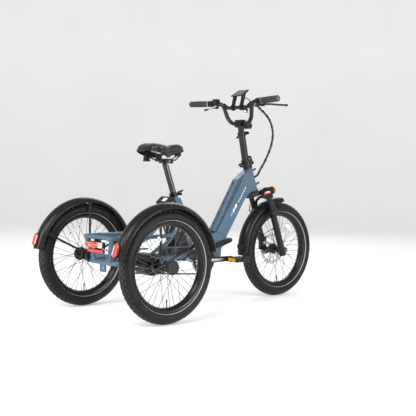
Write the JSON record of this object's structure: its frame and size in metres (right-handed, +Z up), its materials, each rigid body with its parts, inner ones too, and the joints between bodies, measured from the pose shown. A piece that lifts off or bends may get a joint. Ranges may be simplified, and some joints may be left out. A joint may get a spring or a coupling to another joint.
{
  "type": "adult tricycle",
  "caption": "Electric adult tricycle with a low step-through frame, sprung fork, rear axle under a rack tray, fenders, saddle and folding handlebar riser.",
  "frame": {"origin": "on the ground under the middle of the whole tricycle's length and width", "axes": "+X forward, +Y to the rider's left, +Z up; the wheels stand on z = 0"},
  "size_m": [1.6325, 0.778, 1.1368],
  "materials": {
    "blue_paint": "semi-gloss",
    "black_paint": "satin",
    "dark_plastic": "matt",
    "fender_plastic": "satin",
    "light_plastic": "satin",
    "red_lens": "gloss",
    "tyre_rubber": "matt",
    "rubber": "matt",
    "vinyl": "grained",
    "black_alloy": "satin, anodised black",
    "silver_alloy": "satin",
    "steel": "brushed",
    "red_alloy": "satin"
  },
  "bodies": {
    "frame": {"head_tube": "blue_paint", "down_tube": "blue_paint", "down_tube_cover": "blue_paint", "lower_frame": "blue_paint", "rear_stays": "blue_paint", "axle_carriers": "black_paint", "rear_rack": "blue_paint", "frame_bearings": "steel", "battery_pack": "dark_plastic", "battery_dock": "dark_plastic", "frame_pad": "dark_plastic", "seat_clamp": "black_alloy", "rear_fender_left": "fender_plastic", "rear_fender_right": "fender_plastic", "rear_fender_struts": "black_paint", "fender_reflectors": "red_lens", "tail_light": "red_lens", "chain": "steel", "drive_unit": "black_alloy"},
    "front_wheel": {"front_tyre": "tyre_rubber", "front_rim": "black_alloy", "front_spokes": "steel", "front_hub": "black_alloy", "front_rotor": "steel"},
    "rear_wheel_left": {"left_tyre": "tyre_rubber", "left_rim": "black_alloy", "left_spokes": "steel", "left_hub": "black_alloy"},
    "rear_wheel_right": {"right_tyre": "tyre_rubber", "right_rim": "black_alloy", "right_spokes": "steel", "right_hub": "black_alloy"},
    "steerer": {"fork_crown": "black_paint", "stem_base": "black_alloy"},
    "lockout_knob": {"lockout_knob": "red_alloy"},
    "fork_lowers": {"fork_lowers": "black_paint", "front_fender": "fender_plastic", "front_caliper": "black_alloy", "headlight": "dark_plastic"},
    "riser": {"riser_tube": "black_alloy"},
    "riser_lever": {"riser_lever": "black_alloy"},
    "fold_latch": {"fold_latch": "silver_alloy"},
    "handlebar": {"bar_clamp": "black_alloy", "handlebar": "black_alloy", "grips": "rubber", "display": "light_plastic", "control_pods": "dark_plastic", "cable_bundle": "rubber"},
    "power_button": {"power_button": "dark_plastic"},
    "brake_lever_left": {"brake_lever_left": "black_alloy"},
    "brake_lever_right": {"brake_lever_right": "black_alloy"},
    "throttle_lever": {"throttle_lever": "dark_plastic"},
    "seatpost": {"seatpost": "black_alloy", "saddle_shell": "dark_plastic", "saddle_cover": "vinyl"},
    "seat_lever": {"seat_lever": "black_alloy"},
    "crank": {"crankset": "black_alloy"},
    "pedal_right": {"pedal_right": "dark_plastic"},
    "pedal_left": {"pedal_left": "dark_plastic"},
    "rear_sprocket": {"rear_sprocket": "steel"}
  },
  "joints": [
    {"name": "steering", "type": "hinge", "parent": "frame", "child": "steerer", "pos_m": [0.337, 0, 0.653], "axis": [-0.3502, 0, 0.9367], "range_deg": [-45, 45]},
    {"name": "fork_travel", "type": "slide", "parent": "steerer", "child": "fork_lowers", "axis": [-0.3502, 0, 0.9367], "range_m": [0, 0.04], "stiffness_N_per_m": 6000, "springref_m": -0.03},
    {"name": "front_wheel_spin", "type": "hinge", "parent": "fork_lowers", "child": "front_wheel", "pos_m": [0.555, 0, 0.2625], "axis": [0, 1, 0], "continuous": true},
    {"name": "rear_left_wheel_spin", "type": "hinge", "parent": "frame", "child": "rear_wheel_left", "pos_m": [-0.514, 0.339, 0.2625], "axis": [0, 1, 0], "continuous": true},
    {"name": "rear_right_wheel_spin", "type": "hinge", "parent": "frame", "child": "rear_wheel_right", "pos_m": [-0.514, -0.339, 0.2625], "axis": [0, 1, 0], "continuous": true},
    {"name": "stem_fold", "type": "hinge", "parent": "steerer", "child": "riser", "pos_m": [0.2692, 0, 0.73441], "axis": [0, -1, 0], "range_deg": [0, 75]},
    {"name": "fold_latch_turn", "type": "hinge", "parent": "steerer", "child": "fold_latch", "pos_m": [0.33803, 0, 0.74733], "axis": [0, 1, 0], "range_deg": [0, 70]},
    {"name": "riser_slide", "type": "slide", "parent": "riser", "child": "handlebar", "axis": [-0.2137, 0, 0.9769], "range_m": [0, 0.09]},
    {"name": "riser_lever_turn", "type": "hinge", "parent": "riser", "child": "riser_lever", "pos_m": [0.28931, 0, 0.90663], "axis": [0, -1, 0], "range_deg": [0, 100]},
    {"name": "brake_left_pull", "type": "hinge", "parent": "handlebar", "child": "brake_lever_left", "pos_m": [0.24843, 0.185, 1.05329], "axis": [0, 0, 1], "range_deg": [0, 20], "stiffness_Nm_per_rad": 0.5, "springref_deg": -11.46},
    {"name": "brake_right_pull", "type": "hinge", "parent": "handlebar", "child": "brake_lever_right", "pos_m": [0.25148, -0.166, 1.05295], "axis": [0, 0, -1], "range_deg": [0, 20], "stiffness_Nm_per_rad": 0.5, "springref_deg": -11.46},
    {"name": "throttle_turn", "type": "hinge", "parent": "handlebar", "child": "throttle_lever", "pos_m": [0.21074, -0.1955, 1.06747], "axis": [-0.1587, -0.9872, 0.0176], "range_deg": [0, 35], "stiffness_Nm_per_rad": 0.05, "springref_deg": -11.46},
    {"name": "power_button_press", "type": "slide", "parent": "handlebar", "child": "power_button", "axis": [0, 0, -1], "range_m": [0, 0.0015], "stiffness_N_per_m": 800, "springref_m": -0.001},
    {"name": "seatpost_slide", "type": "slide", "parent": "frame", "child": "seatpost", "axis": [-0.3479, 0, 0.9375], "range_m": [-0.11, 0.06]},
    {"name": "seat_lever_turn", "type": "hinge", "parent": "frame", "child": "seat_lever", "pos_m": [-0.174, 0, 0.581], "axis": [0, -1, 0], "range_deg": [0, 90]},
    {"name": "crank_spin", "type": "hinge", "parent": "frame", "child": "crank", "pos_m": [-0.05783, 0, 0.243], "axis": [0, 1, 0], "continuous": true},
    {"name": "pedal_right_spin", "type": "hinge", "parent": "crank", "child": "pedal_right", "pos_m": [0.11217, -0.15, 0.243], "axis": [0, 1, 0], "continuous": true},
    {"name": "pedal_left_spin", "type": "hinge", "parent": "crank", "child": "pedal_left", "pos_m": [-0.22783, 0.15, 0.243], "axis": [0, 1, 0], "continuous": true},
    {"name": "sprocket_spin", "type": "hinge", "parent": "frame", "child": "rear_sprocket", "pos_m": [-0.514, -0.066, 0.2625], "axis": [0, 1, 0], "continuous": true},
    {"name": "lockout_turn", "type": "hinge", "parent": "steerer", "child": "lockout_knob", "pos_m": [0.40143, -0.07, 0.58346], "axis": [-0.3502, 0, 0.9367], "range_deg": [0, 90]}
  ],
  "couplings": [
    {"joint": "sprocket_spin", "follows": "crank_spin", "ratio": 1.2857}
  ]
}
